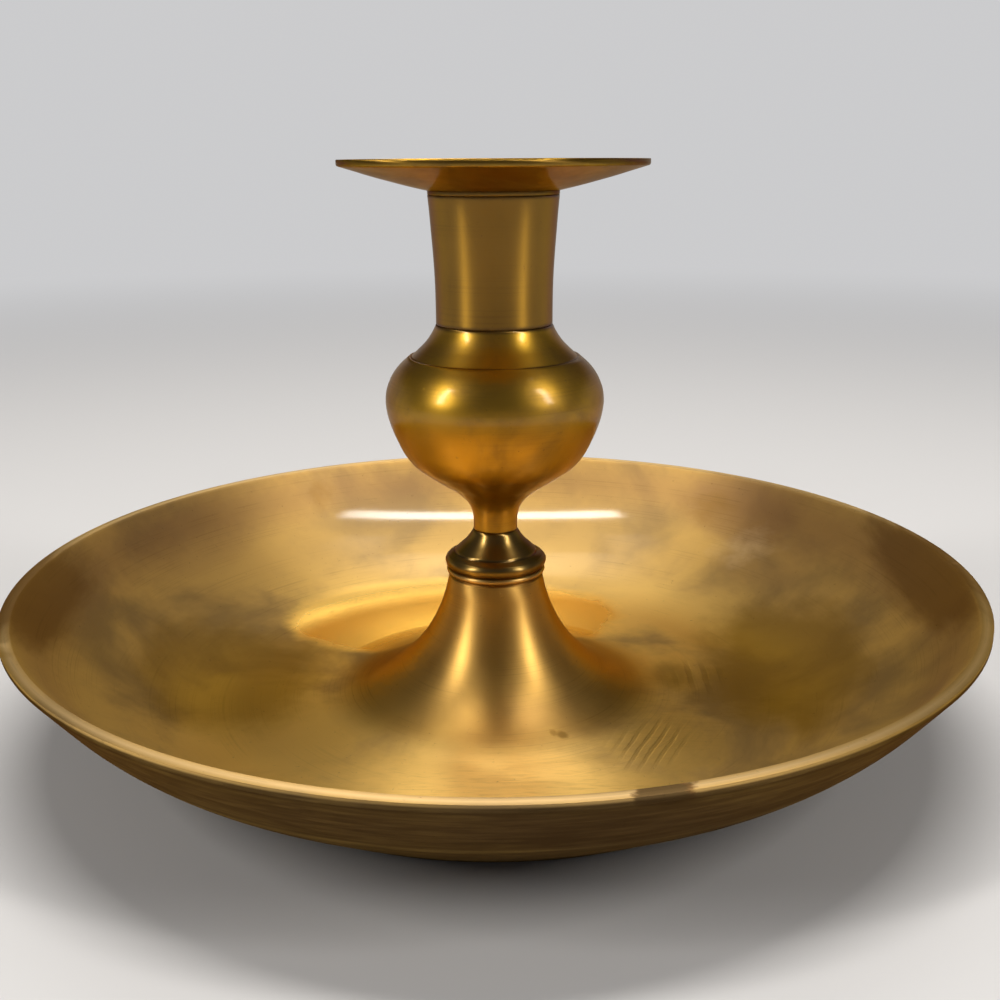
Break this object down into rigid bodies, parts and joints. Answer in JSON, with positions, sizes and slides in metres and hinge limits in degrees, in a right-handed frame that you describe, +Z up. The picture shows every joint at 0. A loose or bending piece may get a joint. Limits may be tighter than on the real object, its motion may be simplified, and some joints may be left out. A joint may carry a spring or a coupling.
{
  "type": "chamberstick",
  "caption": "Brass chamberstick: wide shallow pan with a trumpet stem, urn knop, candle socket, lift-out drip pan and a riveted finger loop.",
  "frame": {"origin": "on the stem's axis, on the table that the pan's foot ring stands on", "axes": "+Z up along the candle, finger loop towards +Y, front towards -Y"},
  "size_m": [0.204, 0.2377, 0.1171],
  "materials": {
    "pan_brass": "turned and hand-polished, worn, with patina clouds",
    "collar_brass": "dark tarnished, turned",
    "knop_brass": "polished, light tarnish",
    "socket_brass": "turned, fine lathe lines",
    "drip_brass": "turned, light tarnish",
    "loop_brass": "hand-polished, worn edges",
    "screw_steel": "dull oiled steel"
  },
  "bodies": {
    "stick": {"pan": "pan_brass", "collar": "collar_brass", "knop": "knop_brass", "socket": "socket_brass", "tie_screw": "screw_steel", "head_washer": "screw_steel", "base_washer": "screw_steel", "base_nut": "screw_steel", "finger_loop": "loop_brass", "thumb_rest": "loop_brass", "loop_rivets": "loop_brass"},
    "nozzle": {"drip_pan": "drip_brass", "candle_sleeve": "drip_brass"}
  },
  "joints": [
    {"name": "drip_lift", "type": "slide", "parent": "stick", "child": "nozzle", "axis": [0, 0, 1], "range_m": [0, 0.03]}
  ]
}
